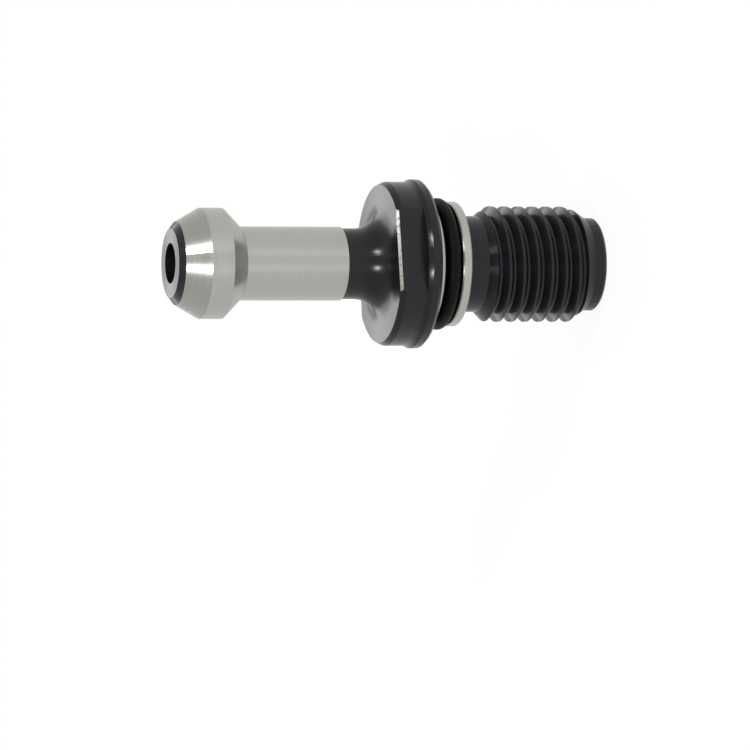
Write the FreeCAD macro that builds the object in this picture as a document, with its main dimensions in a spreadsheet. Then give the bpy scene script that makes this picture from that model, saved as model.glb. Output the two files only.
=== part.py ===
import FreeCAD, Part
import os
import Sketcher

# Pull stud for a 40 taper tool holder.
#
# The stud screws into the small end of the taper. The drawbar's gripper closes behind the head
# and pulls on the 45 degree cone. The stud is one turned, hardened and ground piece with a
# coolant bore through it, and a rubber O-ring in the pilot's groove seals it in the holder.
#
# Frame: millimetres. Z is the stud's axis with the head up, and Z = 0 is the seat, the rear
# face of the flange, which bears on the holder. The wrench flats face +X and -X.

doc = FreeCAD.newDocument("pull_stud")

# %% Driving sizes -------------------------------------------------------------------------------
# Heights are measured up from the seat and depths down from it. Angles are in degrees.

SIZES = {
    # gripping head
    "head_height": 35.0,  # seat to the front face
    "land_height": 28.0,  # seat to the rear edge of the cylindrical land
    "head_diameter": 15.0,
    "nose_face_diameter": 9.4,  # flat face round the coolant bore
    "nose_diameter": 11.3,  # where the nose chamfer meets the front cone
    "nose_chamfer_length": 0.75,
    "front_cone_angle": 30.0,  # front cone to the axis
    "back_cone_angle": 45.0,  # gripping cone to the axis
    # neck
    "neck_diameter": 10.0,  # the ground length
    "relief_height": 11.35,  # seat to the lower end of the ground length
    "relief_diameter": 9.6,  # the turned length, a little under the ground one
    "neck_fillet_radius": 3.6,  # root of the neck on the flange
    # flange
    "flange_height": 5.7,
    "flange_diameter": 23.0,  # the full-round rim at the rear
    "flange_chamfer_length": 0.8,  # along the axis
    "flange_chamfer_depth": 0.4,  # across the axis
    "rim_height": 1.4,
    "rim_step": 0.35,  # the front part, which carries the wrench flats, is this far under the rim
    "rim_hollow_radius": 1.7,  # hollow that runs up from the front part to the rim
    "rim_edge_chamfer": 0.5,
    # wrench flats
    "across_flats": 19.0,
    "flat_floor_height": 2.0,  # seat to the rear wall of each flat
    "flat_edge_chamfer": 0.3,
    # pilot, and the O-ring in its groove
    "pilot_diameter": 17.0,
    "pilot_depth": 5.0,
    "pilot_edge_chamfer": 0.15,
    "corner_relief_width": 0.6,  # run-out for grinding, in the seat round the pilot
    "corner_relief_depth": 0.3,
    "groove_top_depth": 1.25,
    "groove_width": 2.5,
    "ring_section_diameter": 1.78,
    "ring_proud": 0.48,  # how far the free ring stands out of the pilot
    "ring_floor_clearance": 0.02,
    # thread, M16 x 2, right hand
    "thread_diameter": 15.8,
    "thread_depth": 1.125,  # crest to root
    "thread_root_width": 0.33,
    "thread_pitch": 2.0,
    "thread_angle": 60.0,  # between the two flanks
    "undercut_depth": 8.05,  # seat to the lower end of the undercut
    "undercut_below_root": 0.225,  # how far its radius is under the thread's root
    "thread_start": 0.5,  # the groove starts at +X, this far above the undercut's lower end
    "lead_in_angle": 45.0,  # upper end of the thread to the axis
    "lead_out_angle": 35.0,  # lower end of the thread to the axis
    # tail and coolant bore
    "tail_depth": 25.0,  # seat to the end of the stud
    "tail_below_root": 0.425,  # how far its radius is under the thread's root
    "tail_length": 1.65,
    "tail_edge_chamfer": 0.35,
    "bore_diameter": 5.5,
    # how far the cutters reach past the surface they cut
    "overrun": 0.5,
    "thread_overrun": 0.1,
}

sheet = doc.addObject("Spreadsheet::Sheet", "Sizes")
for row, (alias, size) in enumerate(SIZES.items(), start=1):
    sheet.set(f"A{row}", alias)
    sheet.set(f"B{row}", str(size))
    sheet.setAlias(f"B{row}", alias)
doc.recompute()

# %% Radii and heights that follow from the sizes ------------------------------------------------

HEAD_RADIUS = "Sizes.head_diameter / 2"
NOSE_RADIUS = "Sizes.nose_diameter / 2"
NECK_RADIUS = "Sizes.neck_diameter / 2"
RELIEF_RADIUS = "Sizes.relief_diameter / 2"
RIM_RADIUS = "Sizes.flange_diameter / 2"
FRONT_RADIUS = f"({RIM_RADIUS} - Sizes.rim_step)"
PILOT_RADIUS = "Sizes.pilot_diameter / 2"
THREAD_RADIUS = "Sizes.thread_diameter / 2"
ROOT_RADIUS = f"({THREAD_RADIUS} - Sizes.thread_depth)"
UNDERCUT_RADIUS = f"({ROOT_RADIUS} - Sizes.undercut_below_root)"
TAIL_RADIUS = f"({ROOT_RADIUS} - Sizes.tail_below_root)"

NOSE_HEIGHT = "Sizes.head_height - Sizes.nose_chamfer_length"
CONE_HEIGHT = f"{NOSE_HEIGHT} - ({HEAD_RADIUS} - {NOSE_RADIUS}) / tan(Sizes.front_cone_angle)"
NECK_TOP = f"Sizes.land_height - ({HEAD_RADIUS} - {NECK_RADIUS}) / tan(Sizes.back_cone_angle)"

# The hollow leaves the flange's front part at a tangent and ends at the rim's front corner.
HOLLOW_LENGTH = "sqrt(Sizes.rim_step * (2 * Sizes.rim_hollow_radius - Sizes.rim_step))"
HOLLOW_HEIGHT = f"Sizes.rim_height + {HOLLOW_LENGTH}"

GROOVE_BOTTOM = "-Sizes.groove_top_depth - Sizes.groove_width"
SECTION_RADIUS = "Sizes.ring_section_diameter / 2"
RING_RADIUS = f"{PILOT_RADIUS} + Sizes.ring_proud - {SECTION_RADIUS}"
RING_HEIGHT = "-Sizes.groove_top_depth - Sizes.groove_width / 2"
GROOVE_FLOOR = f"{RING_RADIUS} - {SECTION_RADIUS} - Sizes.ring_floor_clearance"

TAIL_TOP = "Sizes.tail_length - Sizes.tail_depth"
THREAD_END = f"{TAIL_TOP} + ({THREAD_RADIUS} - {TAIL_RADIUS}) / tan(Sizes.lead_out_angle)"
THREAD_START = "Sizes.thread_start - Sizes.undercut_depth"


def value(expression):
    """The number that an expression of the sheet's sizes comes to."""
    result = sheet.evalExpression(expression)
    return float(getattr(result, "Value", result))


# %% Helpers for sketches and features -----------------------------------------------------------

# How a sketch numbers its own origin.
ORIGIN = (-1, 1)


def origin_feature(body, role):
    """One of a body's own origin planes or axes, by its role."""
    for feature in body.Origin.OriginFeatures:
        if feature.Role == role:
            return feature
    raise LookupError(role)


def new_sketch(body, name, role):
    sketch = body.newObject("Sketcher::SketchObject", name)
    sketch.AttachmentSupport = [(origin_feature(body, role), "")]
    sketch.MapMode = "FlatFace"
    return sketch


def bind(sketch, kind, *places, size):
    """Add a constraint to a sketch and tie its size to the sheet."""
    index = sketch.addConstraint(Sketcher.Constraint(kind, *places, value(size)))
    sketch.setExpression(f"Constraints[{index}]", size)


def hollow_arc(start, finish, radius):
    """The arc from start to finish whose middle lies towards the axis of a turned piece."""
    chord = finish - start
    outward = FreeCAD.Vector(abs(chord.y), abs(chord.x), 0).normalize()
    centre = (start + finish) / 2 + outward * (radius**2 - (chord.Length / 2) ** 2) ** 0.5
    inward = ((start + finish) / 2 - centre).normalize()
    return Part.Arc(start, centre + inward * radius, finish)


def draw_outline(sketch, corners):
    """Draw a closed outline, and place each corner by two expressions.

    A corner is (x, y), or (x, y, radius) where a hollow arc leads up to it from the corner before.
    """
    points = [FreeCAD.Vector(value(corner[0]), value(corner[1]), 0) for corner in corners]
    pieces = []
    for index, start in enumerate(points):
        following = (index + 1) % len(points)
        finish = points[following]
        if len(corners[following]) == 3:
            radius = corners[following][2]
            piece = sketch.addGeometry(hollow_arc(start, finish, value(radius)), False)
            bind(sketch, "Radius", piece, size=radius)
        else:
            piece = sketch.addGeometry(Part.LineSegment(start, finish), False)
        begins_at_start = sketch.getPoint(piece, 1).distanceToPoint(start) < 1e-6
        pieces.append((piece, 1, 2) if begins_at_start else (piece, 2, 1))
    for index, (piece, first, last) in enumerate(pieces):
        next_piece, next_first, _ = pieces[(index + 1) % len(pieces)]
        sketch.addConstraint(Sketcher.Constraint("Coincident", piece, last, next_piece, next_first))
        x, y = corners[index][:2]
        bind(sketch, "DistanceX", *ORIGIN, piece, first, size=x)
        bind(sketch, "DistanceY", *ORIGIN, piece, first, size=y)


def turn(body, kind, name, corners):
    """Turn a half section about the body's Z axis: a Revolution adds it, a Groove cuts it away."""
    sketch = new_sketch(body, f"{name}Section", "XZ_Plane")
    draw_outline(sketch, corners)
    feature = body.newObject(f"PartDesign::{kind}", name)
    feature.Profile = sketch
    feature.ReferenceAxis = (sketch, ["V_Axis"])
    feature.Angle = 360
    doc.recompute()
    return feature


def ring_edges(feature, *rings):
    """The names of a turned feature's full circles, each given as (radius, height)."""
    names = []
    for radius, height in rings:
        for index, edge in enumerate(feature.Shape.Edges, start=1):
            is_circle = edge.Closed and isinstance(edge.Curve, Part.Circle)
            if not is_circle:
                continue
            right_size = abs(edge.Curve.Radius - value(radius)) < 1e-4
            right_place = abs(edge.Curve.Center.z - value(height)) < 1e-4
            if right_size and right_place:
                names.append(f"Edge{index}")
    if len(names) != len(rings):
        raise LookupError(f"{feature.Name}: found {len(names)} of {len(rings)} circles")
    return names


def dress(body, kind, name, size, *rings):
    """A Fillet or a Chamfer on the circles of the body's last feature."""
    base = body.Tip
    feature = body.newObject(f"PartDesign::{kind}", name)
    feature.Base = (base, ring_edges(base, *rings))
    feature.setExpression("Radius" if kind == "Fillet" else "Size", size)
    doc.recompute()
    return feature


# %% The stud, turned ----------------------------------------------------------------------------
# Head, neck, flange, pilot, thread shank and tail, in one piece from bar.

stud = doc.addObject("PartDesign::Body", "stud")
stud.Label = "stud"

turn(stud, "Revolution", "Blank", [
    ("0", "Sizes.head_height"),
    ("Sizes.nose_face_diameter / 2", "Sizes.head_height"),
    (NOSE_RADIUS, NOSE_HEIGHT),
    (HEAD_RADIUS, CONE_HEIGHT),
    (HEAD_RADIUS, "Sizes.land_height"),
    (NECK_RADIUS, NECK_TOP),
    (NECK_RADIUS, "Sizes.relief_height"),
    (RELIEF_RADIUS, "Sizes.relief_height"),
    (RELIEF_RADIUS, "Sizes.flange_height"),
    (RIM_RADIUS, "Sizes.flange_height"),
    (RIM_RADIUS, "0"),
    (PILOT_RADIUS, "0"),
    (PILOT_RADIUS, "-Sizes.pilot_depth"),
    (THREAD_RADIUS, "-Sizes.pilot_depth"),
    (THREAD_RADIUS, THREAD_END),
    (TAIL_RADIUS, TAIL_TOP),
    (TAIL_RADIUS, "-Sizes.tail_depth"),
    ("0", "-Sizes.tail_depth"),
])
dress(stud, "Fillet", "NeckRoot", "Sizes.neck_fillet_radius", (RELIEF_RADIUS, "Sizes.flange_height"))
dress(stud, "Chamfer", "RimEdge", "Sizes.rim_edge_chamfer", (RIM_RADIUS, "0"))
dress(stud, "Chamfer", "TailEdge", "Sizes.tail_edge_chamfer", (TAIL_RADIUS, "-Sizes.tail_depth"))

# The flange's front part: its chamfer, its cylinder and the hollow that runs up to the rim.
turn(stud, "Groove", "FlangeFront", [
    (f"{FRONT_RADIUS} - Sizes.flange_chamfer_depth", "Sizes.flange_height"),
    (FRONT_RADIUS, "Sizes.flange_height - Sizes.flange_chamfer_length"),
    (FRONT_RADIUS, HOLLOW_HEIGHT),
    (RIM_RADIUS, "Sizes.rim_height", "Sizes.rim_hollow_radius"),
    (f"{RIM_RADIUS} + Sizes.overrun", "Sizes.rim_height"),
    (f"{RIM_RADIUS} + Sizes.overrun", "Sizes.flange_height"),
])

# A relief in the seat lets the wheel run out where the pilot and the seat are ground.
turn(stud, "Groove", "CornerRelief", [
    (PILOT_RADIUS, "0"),
    (PILOT_RADIUS, "Sizes.corner_relief_depth"),
    (f"{PILOT_RADIUS} + Sizes.corner_relief_width", "Sizes.corner_relief_depth"),
    (f"{PILOT_RADIUS} + Sizes.corner_relief_width", "0"),
])

# The O-ring's groove leaves a land above it and one below it, which centre the stud.
turn(stud, "Groove", "RingGroove", [
    (GROOVE_FLOOR, "-Sizes.groove_top_depth"),
    (GROOVE_FLOOR, GROOVE_BOTTOM),
    (f"{PILOT_RADIUS} + Sizes.overrun", GROOVE_BOTTOM),
    (f"{PILOT_RADIUS} + Sizes.overrun", "-Sizes.groove_top_depth"),
])
dress(
    stud, "Chamfer", "PilotEdges", "Sizes.pilot_edge_chamfer",
    (PILOT_RADIUS, "-Sizes.groove_top_depth"),
    (PILOT_RADIUS, GROOVE_BOTTOM),
    (PILOT_RADIUS, "-Sizes.pilot_depth"),
)

# The undercut lets the thread run out clear of the pilot, and its lower end is the lead-in.
LEAD_IN_RADIUS = f"({THREAD_RADIUS} + Sizes.thread_overrun)"
turn(stud, "Groove", "Undercut", [
    (UNDERCUT_RADIUS, "-Sizes.pilot_depth"),
    (UNDERCUT_RADIUS, "-Sizes.undercut_depth"),
    (
        LEAD_IN_RADIUS,
        f"-Sizes.undercut_depth - ({LEAD_IN_RADIUS} - {UNDERCUT_RADIUS}) / tan(Sizes.lead_in_angle)",
    ),
    (LEAD_IN_RADIUS, "-Sizes.pilot_depth"),
])

# %% The thread ----------------------------------------------------------------------------------
# A V cutter follows a right-hand helix down from the undercut. It starts and ends beside
# material that is smaller than the thread's root, so the groove runs out cleanly at both ends.

CUTTER_REACH = "(Sizes.thread_depth + Sizes.thread_overrun)"
HALF_ROOT = "Sizes.thread_root_width / 2"
HALF_MOUTH = f"({HALF_ROOT} + {CUTTER_REACH} * tan(Sizes.thread_angle / 2))"

cutter = new_sketch(stud, "ThreadCutter", "XZ_Plane")
draw_outline(cutter, [
    (ROOT_RADIUS, f"{THREAD_START} + {HALF_ROOT}"),
    (ROOT_RADIUS, f"{THREAD_START} - {HALF_ROOT}"),
    (f"{ROOT_RADIUS} + {CUTTER_REACH}", f"{THREAD_START} - {HALF_MOUTH}"),
    (f"{ROOT_RADIUS} + {CUTTER_REACH}", f"{THREAD_START} + {HALF_MOUTH}"),
])
thread = stud.newObject("PartDesign::SubtractiveHelix", "Thread")
thread.Profile = cutter
thread.ReferenceAxis = (cutter, ["V_Axis"])
thread.Mode = "pitch-height-angle"
thread.Angle = 0
thread.LeftHanded = False
thread.Reversed = True
thread.setExpression("Pitch", "Sizes.thread_pitch")
thread.setExpression("Height", f"{THREAD_START} - ({TAIL_TOP})")
doc.recompute()

# %% Milled and drilled --------------------------------------------------------------------------

# A wrench flat, with its front edge broken, cut straight across the flange's front part.
flat_section = new_sketch(stud, "FlatSection", "XZ_Plane")
draw_outline(flat_section, [
    ("Sizes.across_flats / 2", "Sizes.flat_floor_height"),
    ("Sizes.across_flats / 2", "Sizes.flange_height - Sizes.flat_edge_chamfer"),
    ("Sizes.across_flats / 2 - Sizes.flat_edge_chamfer", "Sizes.flange_height"),
    (f"{RIM_RADIUS} + Sizes.overrun", "Sizes.flange_height"),
    (f"{RIM_RADIUS} + Sizes.overrun", "Sizes.flat_floor_height"),
])
flat = stud.newObject("PartDesign::Pocket", "Flat")
flat.Profile = flat_section
flat.Type = "ThroughAll"
flat.Midplane = True
doc.recompute()

flats = stud.newObject("PartDesign::PolarPattern", "BothFlats")
flats.Originals = [flat]
flats.Axis = (origin_feature(stud, "Z_Axis"), [""])
flats.Angle = 360
flats.Occurrences = 2
stud.Tip = flats
doc.recompute()

# The coolant bore runs the whole length of the stud.
bore_mouth = new_sketch(stud, "BoreMouth", "XY_Plane")
mouth = bore_mouth.addGeometry(Part.Circle(), False)
bore_mouth.addConstraint(Sketcher.Constraint("Coincident", mouth, 3, *ORIGIN))
bind(bore_mouth, "Diameter", mouth, size="Sizes.bore_diameter")
bore = stud.newObject("PartDesign::Pocket", "CoolantBore")
bore.Profile = bore_mouth
bore.Type = "ThroughAll"
bore.Midplane = True
doc.recompute()

# %% The O-ring ----------------------------------------------------------------------------------
# Moulded rubber, sprung over the pilot into its groove. As a soft piece it is kept plain: its
# round section is drawn with flats.

RING_FLATS = 12

o_ring = doc.addObject("PartDesign::Body", "o_ring")
o_ring.Label = "o_ring"
flat_angle = 360 / RING_FLATS
turn(o_ring, "Revolution", "Ring", [
    (
        f"{RING_RADIUS} + {SECTION_RADIUS} * cos({index * flat_angle})",
        f"{RING_HEIGHT} + {SECTION_RADIUS} * sin({index * flat_angle})",
    )
    for index in range(RING_FLATS)
])

# %% Check and write -----------------------------------------------------------------------------

# Each step of the stud after the blank cuts metal away, apart from the neck's fillet.
previous = None
for feature in stud.Group:
    if not feature.isDerivedFrom("PartDesign::Feature"):
        continue
    if previous is not None and feature.Name != "NeckRoot":
        removed = previous.Shape.Volume - feature.Shape.Volume
        if removed <= 0:
            raise RuntimeError(f"{feature.Name} removes nothing")
        print(f"{feature.Name:12s} removes {removed:8.2f} mm3")
    previous = feature

for item in doc.Objects:
    if "Invalid" in item.State or "Error" in item.State:
        raise RuntimeError(f"{item.Name}: {item.State}")

os.makedirs("parts", exist_ok=True)
for piece in (stud, o_ring):
    if piece.Shape.isNull() or not piece.Shape.isValid():
        raise RuntimeError(f"{piece.Label} has no valid shape")
    piece.Shape.exportStep(f"parts/{piece.Label}.step")
    print(f"{piece.Label}: {piece.Shape.Volume:.1f} mm3, {len(piece.Shape.Faces)} faces")
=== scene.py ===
# %% [markdown]
# # Pull stud for a 40 taper tool holder
#
# A pull stud is the small part by which a milling machine holds its tool. It is screwed into the
# thin end of the tool holder's taper, and a gripper in the spindle closes behind its head and
# pulls. It is turned from one bar of alloy steel, hardened, blackened all over, and then ground
# bright where it has to be true: the head, the neck and the pilot. A rubber O-ring sits in a
# groove of the pilot.
#
# The stud's shape comes from the CAD model. This lesson adds what a CAD model lacks: the two
# finishes of the steel, a round O-ring, and a small studio to look at them in.

# %% Load the CAD model
import math

import bmesh
import bpy
from mathutils import Matrix, Vector


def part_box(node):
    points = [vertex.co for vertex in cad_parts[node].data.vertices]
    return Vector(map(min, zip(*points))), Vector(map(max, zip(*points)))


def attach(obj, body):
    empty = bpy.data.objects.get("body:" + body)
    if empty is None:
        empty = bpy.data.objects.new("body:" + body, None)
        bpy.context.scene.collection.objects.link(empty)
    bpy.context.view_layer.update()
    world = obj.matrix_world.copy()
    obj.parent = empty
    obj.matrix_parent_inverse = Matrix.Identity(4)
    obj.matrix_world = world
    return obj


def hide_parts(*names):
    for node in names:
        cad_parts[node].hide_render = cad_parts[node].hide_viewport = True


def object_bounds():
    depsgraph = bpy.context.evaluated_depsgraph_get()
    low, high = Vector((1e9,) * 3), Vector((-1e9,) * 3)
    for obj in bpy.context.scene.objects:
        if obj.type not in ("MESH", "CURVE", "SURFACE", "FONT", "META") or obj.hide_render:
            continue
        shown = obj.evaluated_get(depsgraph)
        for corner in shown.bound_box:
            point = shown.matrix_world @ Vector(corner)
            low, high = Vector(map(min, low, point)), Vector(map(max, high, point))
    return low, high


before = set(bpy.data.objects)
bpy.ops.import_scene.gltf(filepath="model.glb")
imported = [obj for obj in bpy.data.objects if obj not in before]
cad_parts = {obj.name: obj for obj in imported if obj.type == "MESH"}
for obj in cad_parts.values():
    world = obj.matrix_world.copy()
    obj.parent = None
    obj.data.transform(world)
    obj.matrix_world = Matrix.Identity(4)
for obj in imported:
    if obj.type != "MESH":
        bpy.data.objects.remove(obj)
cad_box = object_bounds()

MM = 0.001  # the scene is in metres, and the sizes below are written in millimetres
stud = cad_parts["stud"]
print("nodes:", sorted(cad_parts))
print("box in mm:", [[round(value / MM, 2) for value in corner] for corner in cad_box])

# %% [markdown]
# ## Helpers
#
# Colours are picked as hex values, as a paint chart gives them, but a renderer adds light in
# linear numbers, so one function turns one into the other. A material is a small graph of nodes.
# One function adds a node, sets its values and plugs in its links, which keeps each material
# below as short as a recipe.

# %% Helpers for colours and nodes
def linear(hex_colour):
    """An sRGB hex colour as linear red, green, blue and alpha."""
    channels = [int(hex_colour[i:i + 2], 16) / 255 for i in (1, 3, 5)]
    return [c / 12.92 if c <= 0.04045 else ((c + 0.055) / 1.055) ** 2.4 for c in channels] + [1]


def add(tree, kind, settings=None, links=None):
    """Add a node to a node tree. settings sets its options or unlinked inputs, links its inputs."""
    node = tree.nodes.new(kind)
    for name, setting in (settings or {}).items():
        if isinstance(name, str) and name not in node.inputs and hasattr(node, name):
            setattr(node, name, setting)
        else:
            node.inputs[name].default_value = setting
    for name, output in (links or {}).items():
        tree.links.new(output, node.inputs[name])
    return node


def empty_material(name):
    """A material with nothing but its output, its node tree and that output node."""
    material = bpy.data.materials.new(name)
    material.use_nodes = True
    material.node_tree.nodes.clear()
    return material, material.node_tree, material.node_tree.nodes.new("ShaderNodeOutputMaterial")


print("a mid grey, #808080, is", round(linear("#808080")[0], 3), "in linear light")

# %% [markdown]
# ## The two finishes of the steel
#
# After hardening, the whole stud goes into a hot salt bath that turns its skin to black oxide, a
# layer a thousandth of a millimetre thick. Then a grinding wheel takes the black off the faces
# that must run true. The black could be a second object or a painted image. But the finish
# follows the shape, so it can be told from how high a point is on the stud and how far it is
# from the axis. A mask made of a few nodes does just that, and it has no seams.

# %% Where the grinding wheel has been
NOSE_TOP = 34.25  # the front cone ends here, and the nose chamfer above it stays black
GROUND_NECK_END = 11.35
PILOT_TOP = 0.0
GROOVE_TOP = -1.25
GROOVE_BOTTOM = -3.75
PILOT_BOTTOM = -5.0
OUTSIDE_BORE = 3.0  # the head and the neck are ground outside, and the bore inside them is black
OUTSIDE_GROOVE = 8.3  # the pilot's lands are ground, and the groove between them is black
EDGE = 0.02  # half the width over which one finish gives way to the other

GROUND_BANDS = [  # lowest and highest, and the least distance from the axis
    (GROUND_NECK_END, NOSE_TOP, OUTSIDE_BORE),
    (GROOVE_TOP, PILOT_TOP, OUTSIDE_GROOVE),
    (PILOT_BOTTOM, GROOVE_BOTTOM, OUTSIDE_GROOVE),
]


def ground_mask(tree, height, radius):
    """1 where the steel is ground bright and 0 where it is black, as an output socket."""
    total = None
    for lowest, highest, least in GROUND_BANDS:
        steps = []
        for output, limit, before, after in (
            (height, lowest, 0, 1),
            (height, highest, 1, 0),
            (radius, least, 0, 1),
        ):
            step = add(
                tree, "ShaderNodeMapRange",
                {"From Min": limit - EDGE, "From Max": limit + EDGE, "To Min": before, "To Max": after},
                {"Value": output},
            )
            steps.append(step.outputs["Result"])
        within = add(tree, "ShaderNodeMath", {"operation": "MULTIPLY"}, {0: steps[0], 1: steps[1]})
        band = add(tree, "ShaderNodeMath", {"operation": "MULTIPLY"}, {0: within.outputs[0], 1: steps[2]})
        if total is not None:
            band = add(tree, "ShaderNodeMath", {"operation": "ADD"}, {0: total, 1: band.outputs[0]})
        total = band.outputs[0]
    return total


print("ground bands, mm up from the seat:", [band[:2] for band in GROUND_BANDS])

# %% A place on the stud, in nodes
# The stud's own coordinates, in millimetres, and the distance from its axis.
steel, tree, output = empty_material("hardened steel, black oxide and ground")
place = add(tree, "ShaderNodeTexCoord")
in_mm = add(
    tree, "ShaderNodeVectorMath", {"operation": "SCALE", "Scale": 1 / MM}, {0: place.outputs["Object"]},
)
split = add(tree, "ShaderNodeSeparateXYZ", {}, {0: in_mm.outputs[0]})
across = add(tree, "ShaderNodeCombineXYZ", {}, {"X": split.outputs["X"], "Y": split.outputs["Y"]})
radius = add(tree, "ShaderNodeVectorMath", {"operation": "LENGTH"}, {0: across.outputs[0]})
mask = ground_mask(tree, split.outputs["Z"], radius.outputs["Value"])
print("nodes in the steel so far:", len(tree.nodes))

# %% [markdown]
# ## Lines left by the wheel and the lathe
#
# A wheel or a turning tool leaves fine lines round the axis. They tilt the surface a little up
# and down the stud and hardly at all around it, so every highlight is drawn out along the axis
# and stays narrow across it. The shader's anisotropy does the drawing out. A noise stretched
# round the axis does what is left to see: faint lines in the gloss and in the bump. Real lines
# are a few hundredths of a millimetre apart, and these are a quarter of a millimetre apart, so
# that they show. The oxide bath also leaves a fine grain, and slow clouds of darker and paler
# black.

# %% Lines, grain and clouds
LINES_PER_MM = 4.0
GRAINS_PER_MM = 3.0
CLOUDS_PER_MM = 0.35
ROUND_THE_AXIS = 0.05  # a line changes this much more slowly round the axis than across it
OUTWARDS = 0.5  # on an end face the lines follow the distance from the axis

along = add(
    tree, "ShaderNodeMath", {"operation": "MULTIPLY_ADD", 1: OUTWARDS},
    {0: radius.outputs["Value"], 2: split.outputs["Z"]},
)
slow = add(
    tree, "ShaderNodeVectorMath", {"operation": "SCALE", "Scale": ROUND_THE_AXIS}, {0: across.outputs[0]},
)
slow_split = add(tree, "ShaderNodeSeparateXYZ", {}, {0: slow.outputs[0]})
line_place = add(
    tree, "ShaderNodeCombineXYZ", {},
    {"X": slow_split.outputs["X"], "Y": slow_split.outputs["Y"], "Z": along.outputs[0]},
)
lines = add(
    tree, "ShaderNodeTexNoise", {"Scale": LINES_PER_MM, "Detail": 3.0}, {"Vector": line_place.outputs[0]},
)
grains = add(
    tree, "ShaderNodeTexNoise", {"Scale": GRAINS_PER_MM, "Detail": 3.0}, {"Vector": in_mm.outputs[0]},
)
clouds = add(
    tree, "ShaderNodeTexNoise", {"Scale": CLOUDS_PER_MM, "Detail": 4.0}, {"Vector": in_mm.outputs[0]},
)
print("spacing in mm: lines", 1 / LINES_PER_MM, "grain", round(1 / GRAINS_PER_MM, 2))

# %% [markdown]
# ## Worn edges
#
# A wrench rubs the oxide off the front edges of the two flats. Such an edge is a small 45 degree
# chamfer, and on it the distance sideways and the height add up to one number. So two nodes that
# compare numbers find it, and the grain breaks it up into patches.

# %% Wear on the front edges of the wrench flats
WORN_SUM = 14.9  # |x| + z on the chamfer
WORN_SUM_SPREAD = 0.06
WORN_SIDE = 9.35  # |x| in the middle of the chamfer
WORN_SIDE_SPREAD = 0.2
LEAST_WEAR = 0.25

side = add(tree, "ShaderNodeMath", {"operation": "ABSOLUTE"}, {0: split.outputs["X"]})
side_and_height = add(
    tree, "ShaderNodeMath", {"operation": "ADD"}, {0: side.outputs[0], 1: split.outputs["Z"]},
)
on_chamfer = add(
    tree, "ShaderNodeMath", {"operation": "COMPARE", 1: WORN_SUM, 2: WORN_SUM_SPREAD},
    {0: side_and_height.outputs[0]},
)
at_flat = add(
    tree, "ShaderNodeMath", {"operation": "COMPARE", 1: WORN_SIDE, 2: WORN_SIDE_SPREAD},
    {0: side.outputs[0]},
)
edge = add(
    tree, "ShaderNodeMath", {"operation": "MULTIPLY"}, {0: on_chamfer.outputs[0], 1: at_flat.outputs[0]},
)
patches = add(
    tree, "ShaderNodeMapRange",
    {"From Min": 0.36, "From Max": 0.46, "To Min": LEAST_WEAR, "To Max": 1.0},
    {"Value": grains.outputs["Fac"]},
)
worn = add(
    tree, "ShaderNodeMath", {"operation": "MULTIPLY"}, {0: edge.outputs[0], 1: patches.outputs["Result"]},
)
bare = add(tree, "ShaderNodeMath", {"operation": "MAXIMUM"}, {0: mask, 1: worn.outputs[0]})
print("worn chamfer at |x| + z =", WORN_SUM, "mm")

# %% [markdown]
# ## Colour and gloss
#
# Black oxide is nearly black, very slightly blue, and holds a film of oil, so to the eye it is a
# smooth dark glaze: not a metal, with an IOR of 1.45. Ground steel is a pale grey metal. Its
# gloss is soft, because the lines scatter the light, and it varies a little from line to line.

# %% Colours of the oxide and the ground steel
black = add(
    tree, "ShaderNodeMix", {"data_type": "RGBA", 6: linear("#08090b"), 7: linear("#121519")},
    {"Factor": clouds.outputs["Fac"]},
)
ground = add(
    tree, "ShaderNodeMix", {"data_type": "RGBA", 6: linear("#bdbcb6"), 7: linear("#cccbc5")},
    {"Factor": lines.outputs["Fac"]},
)
colour = add(
    tree, "ShaderNodeMix", {"data_type": "RGBA"},
    {"Factor": bare.outputs[0], 6: black.outputs[2], 7: ground.outputs[2]},
)
print("ground steel, linear red:", round(linear("#bdbcb6")[0], 2), "to", round(linear("#cccbc5")[0], 2))

# %% Gloss and bump
LINE_DEPTH = 0.0012  # in millimetres: about a micrometre
GRAIN_DEPTH = 0.0025

black_gloss = add(
    tree, "ShaderNodeMapRange", {"To Min": 0.20, "To Max": 0.30}, {"Value": grains.outputs["Fac"]},
)
ground_gloss = add(
    tree, "ShaderNodeMapRange", {"To Min": 0.27, "To Max": 0.37}, {"Value": lines.outputs["Fac"]},
)
roughness = add(
    tree, "ShaderNodeMix", {"data_type": "FLOAT"},
    {"Factor": bare.outputs[0], 2: black_gloss.outputs["Result"], 3: ground_gloss.outputs["Result"]},
)
line_bump = add(
    tree, "ShaderNodeBump", {"Strength": 1.0, "Distance": LINE_DEPTH * MM},
    {"Height": lines.outputs["Fac"]},
)
bump = add(
    tree, "ShaderNodeBump", {"Strength": 1.0, "Distance": GRAIN_DEPTH * MM},
    {"Height": grains.outputs["Fac"], "Normal": line_bump.outputs[0]},
)
print("depth of a line and of the grain, mm:", LINE_DEPTH, GRAIN_DEPTH)

# %% Put the steel together
# The tangent runs round the axis, and a quarter turn makes the highlights run along it.
QUARTER_TURN = 0.25

tangent = add(tree, "ShaderNodeTangent", {"direction_type": "RADIAL", "axis": "Z"})
surface = add(
    tree, "ShaderNodeBsdfPrincipled",
    {"Anisotropic": 0.75, "Anisotropic Rotation": QUARTER_TURN, "IOR": 1.45},
    {
        "Base Color": colour.outputs[2],
        "Metallic": bare.outputs[0],
        "Roughness": roughness.outputs[0],
        "Tangent": tangent.outputs[0],
        "Normal": bump.outputs[0],
    },
)
tree.links.new(surface.outputs[0], output.inputs["Surface"])
for material_slot in stud.material_slots:
    material_slot.material = steel
print("material on the stud:", [s.material.name for s in stud.material_slots])

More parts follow.
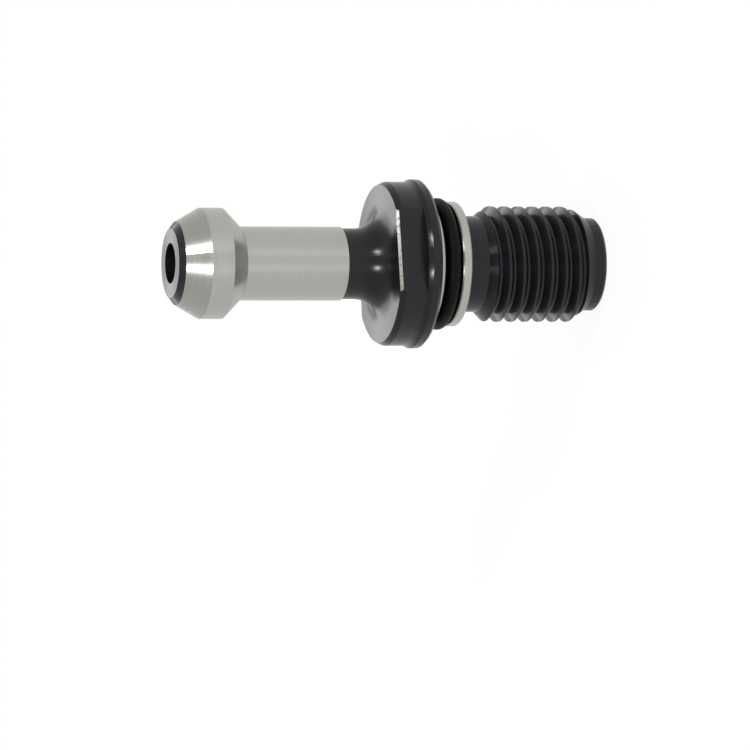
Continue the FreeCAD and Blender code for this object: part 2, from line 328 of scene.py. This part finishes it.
# %% [markdown]
# ## The O-ring
#
# The ring that the CAD model draws with flats gets its true round section. A torus primitive
# would do, but its size is set by two numbers that the CAD box doesn't give directly. So a small
# circle of points is carried round the stud, placed from the CAD ring's own box, and each point
# is joined to its neighbours by faces.

# %% O-ring
TURNS, SIDES = 192, 40  # steps round the stud, and steps round the section

low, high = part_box("o_ring")
ring_outer = high[0]
section = (high[2] - low[2]) / 2
ring_height = (high[2] + low[2]) / 2
mesh = bpy.data.meshes.new("o_ring_rubber")
shape = bmesh.new()
rows = []
for turn in range(TURNS):
    around = 2 * math.pi * turn / TURNS
    row = []
    for step in range(SIDES):
        angle = 2 * math.pi * step / SIDES
        reach = ring_outer - section + section * math.cos(angle)
        height = ring_height + section * math.sin(angle)
        row.append(shape.verts.new((reach * math.cos(around), reach * math.sin(around), height)))
    rows.append(row)
for turn in range(TURNS):
    here, beyond = rows[turn], rows[(turn + 1) % TURNS]
    for step in range(SIDES):
        after = (step + 1) % SIDES
        face = shape.faces.new((here[step], beyond[step], beyond[after], here[after]))
        face.smooth = True
shape.to_mesh(mesh)
shape.free()
o_ring = bpy.data.objects.new("o_ring_rubber", mesh)
bpy.context.scene.collection.objects.link(o_ring)
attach(o_ring, "root")
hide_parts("o_ring")
print("O-ring: section", round(2 * section / MM, 2), "mm,", len(mesh.polygons), "faces")

# %% [markdown]
# ## Rubber
#
# Nitrile rubber is nearly black right through. It comes out of a polished mould, so it is smooth
# and satin, with a fine skin that breaks up the highlight. It mirrors less than any metal or
# glaze, which a low IOR stands for.

# %% Moulded nitrile rubber
SKIN_PER_MM = 4.0
SKIN_DEPTH = 0.002  # in millimetres

rubber, tree, output = empty_material("moulded nitrile rubber")
place = add(tree, "ShaderNodeTexCoord")
skin = add(
    tree, "ShaderNodeTexNoise", {"Scale": SKIN_PER_MM / MM, "Detail": 3.0},
    {"Vector": place.outputs["Object"]},
)
tone = add(
    tree, "ShaderNodeMix", {"data_type": "RGBA", 6: linear("#040404"), 7: linear("#090909")},
    {"Factor": skin.outputs["Fac"]},
)
gloss = add(tree, "ShaderNodeMapRange", {"To Min": 0.42, "To Max": 0.56}, {"Value": skin.outputs["Fac"]})
grain = add(
    tree, "ShaderNodeBump", {"Strength": 1.0, "Distance": SKIN_DEPTH * MM}, {"Height": skin.outputs["Fac"]},
)
surface = add(
    tree, "ShaderNodeBsdfPrincipled", {"IOR": 1.25},
    {"Base Color": tone.outputs[2], "Roughness": gloss.outputs["Result"], "Normal": grain.outputs[0]},
)
tree.links.new(surface.outputs[0], output.inputs["Surface"])
mesh.materials.append(rubber)
print("material on the O-ring:", rubber.name)

# %% [markdown]
# ## The floor and the studio
#
# The stud stands on its tail on white paper, in a white tent. The camera sees both as plain
# white. What shines shows them too, a little greyer, because a tent is never as bright as the
# lamps in it: the Light Path node tells which kind of ray is asking. Only light that falls on
# the paper makes the stud's shadow, so a tenth of the paper stays ordinary paper.

# %% Floor
FLOOR_SIZE = 6.0  # metres
FLOOR_MIRRORED = 0.74  # how bright the paper is in what shines
PLAIN_WHITE_SHARE = 0.9


def brightness_seen(tree, mirrored):
    """How much of the plain white a ray sees, and how bright that white is for it."""
    path = add(tree, "ShaderNodeLightPath")
    shine = add(
        tree, "ShaderNodeMath", {"operation": "ADD", "use_clamp": True},
        {0: path.outputs["Is Glossy Ray"], 1: path.outputs["Is Transmission Ray"]},
    )
    seen = add(
        tree, "ShaderNodeMath", {"operation": "ADD", "use_clamp": True},
        {0: path.outputs["Is Camera Ray"], 1: shine.outputs[0]},
    )
    bright = add(
        tree, "ShaderNodeMapRange", {"To Min": 1.0, "To Max": mirrored}, {"Value": shine.outputs[0]},
    )
    return seen.outputs[0], bright.outputs["Result"]


half = FLOOR_SIZE / 2
floor_mesh = bpy.data.meshes.new("floor")
floor_mesh.from_pydata(
    [(-half, -half, 0), (half, -half, 0), (half, half, 0), (-half, half, 0)], [], [(0, 1, 2, 3)],
)
floor = bpy.data.objects.new("floor", floor_mesh)
floor.location.z = cad_box[0][2]
bpy.context.scene.collection.objects.link(floor)

paper, tree, output = empty_material("white paper")
seen, bright = brightness_seen(tree, FLOOR_MIRRORED)
share = add(tree, "ShaderNodeMath", {"operation": "MULTIPLY", 1: PLAIN_WHITE_SHARE}, {0: seen})
lit = add(tree, "ShaderNodeBsdfDiffuse", {"Color": linear("#f4f4f2")})
glow = add(tree, "ShaderNodeEmission", {"Color": linear("#ffffff")}, {"Strength": bright})
both = add(tree, "ShaderNodeMixShader", {}, {0: share.outputs[0], 1: lit.outputs[0], 2: glow.outputs[0]})
tree.links.new(both.outputs[0], output.inputs["Surface"])
floor_mesh.materials.append(paper)
print("floor at", round(floor.location.z / MM, 2), "mm")

# %% World
WORLD_LIGHT = 0.7  # the soft light from all round that falls on things
WORLD_MIRRORED = 0.55  # how bright the tent is in what shines

world = bpy.data.worlds.new("studio")
bpy.context.scene.world = world
world.use_nodes = True
tree = world.node_tree
tree.nodes.clear()
output = tree.nodes.new("ShaderNodeOutputWorld")
seen, bright = brightness_seen(tree, WORLD_MIRRORED)
level = add(
    tree, "ShaderNodeMix", {"data_type": "FLOAT", 2: WORLD_LIGHT}, {"Factor": seen, 3: bright},
)
backdrop = add(
    tree, "ShaderNodeBackground", {"Color": linear("#ffffff")}, {"Strength": level.outputs[0]},
)
tree.links.new(backdrop.outputs[0], output.inputs["Surface"])
print("world:", WORLD_LIGHT, "on things,", WORLD_MIRRORED, "in what shines")

# %% [markdown]
# ## The camera
#
# The camera looks at the stud from a little above one wrench flat, from the head's side, and it
# is turned on its side, so that the stud lies across the picture with its head to the left. A
# long lens from far away keeps the stud's edges almost parallel.

# %% Camera
VIEW_AZIMUTH = -11.5  # degrees from +X towards +Y
VIEW_ELEVATION = 17.3
VIEW_DISTANCE = 800 * MM
VIEW_ROLL = 0.14
SEAT_RIGHT = 5.97 * MM  # how far the seat is from the middle of the view
SEAT_UP = 15.13 * MM
LENS = 282.0
SENSOR = 36


def direction(azimuth, elevation):
    """The unit vector towards an azimuth and an elevation, in degrees."""
    a, e = math.radians(azimuth), math.radians(elevation)
    return Vector((math.cos(e) * math.cos(a), math.cos(e) * math.sin(a), math.sin(e)))


towards_camera = direction(VIEW_AZIMUTH, VIEW_ELEVATION)
up = direction(VIEW_AZIMUTH + 90, 0)
right = up.cross(towards_camera)
roll = Matrix.Rotation(math.radians(VIEW_ROLL), 3, towards_camera)
up, right = roll @ up, roll @ right
eye = towards_camera * VIEW_DISTANCE
aim = -right * SEAT_RIGHT - up * SEAT_UP
back = (eye - aim).normalized()
right = up.cross(back).normalized()
up = back.cross(right)

camera_data = bpy.data.cameras.new("camera")
camera_data.lens = LENS
camera_data.sensor_width = SENSOR
camera_data.clip_start = 10 * MM
camera = bpy.data.objects.new("camera", camera_data)
camera.matrix_world = Matrix.Translation(eye) @ Matrix((right, up, back)).transposed().to_4x4()
bpy.context.scene.collection.objects.link(camera)
bpy.context.scene.camera = camera
print("camera at", [round(value / MM) for value in eye], "mm, lens", LENS, "mm")

# %% [markdown]
# ## The lamps
#
# Two narrow soft boxes hang above the head, one each side of the camera. Polished rounds turn
# each into a thin bright line. A wide, weak panel behind the stud is what the faces that look
# up mirror at a shallow angle, which makes the black flange look grey there.

# %% Lights
STRIP_SIZE = (0.06, 0.25)  # metres, across and along the stud
STRIP_DISTANCE = 0.9
STRIP_WATTS = 2.6


def soft_lamp(name, azimuth, elevation, distance, size, watts):
    """A rectangular lamp that faces the stud, with its height along the stud's axis."""
    data = bpy.data.lights.new(name, "AREA")
    data.shape = "RECTANGLE"
    data.size, data.size_y = size
    data.energy = watts
    lamp = bpy.data.objects.new(name, data)
    way = direction(azimuth, elevation)
    lamp.location = way * distance
    lamp.rotation_euler = way.to_track_quat("Z", "Y").to_euler()
    bpy.context.scene.collection.objects.link(lamp)
    return lamp


lamps = [
    soft_lamp("upper strip", 29, 43, STRIP_DISTANCE, STRIP_SIZE, STRIP_WATTS),
    soft_lamp("lower strip", -26, 43, STRIP_DISTANCE, STRIP_SIZE, STRIP_WATTS),
    soft_lamp("back panel", 168, 30, 1.0, (1.0, 0.6), 3.4),
]
print("lamps:", [(lamp.name, round(lamp.data.energy, 1)) for lamp in lamps])

# %% [markdown]
# ## Finish
#
# The Standard view shows a colour as it is written, with no film look over it.

# %% Finish
bpy.context.scene.view_settings.view_transform = "Standard"
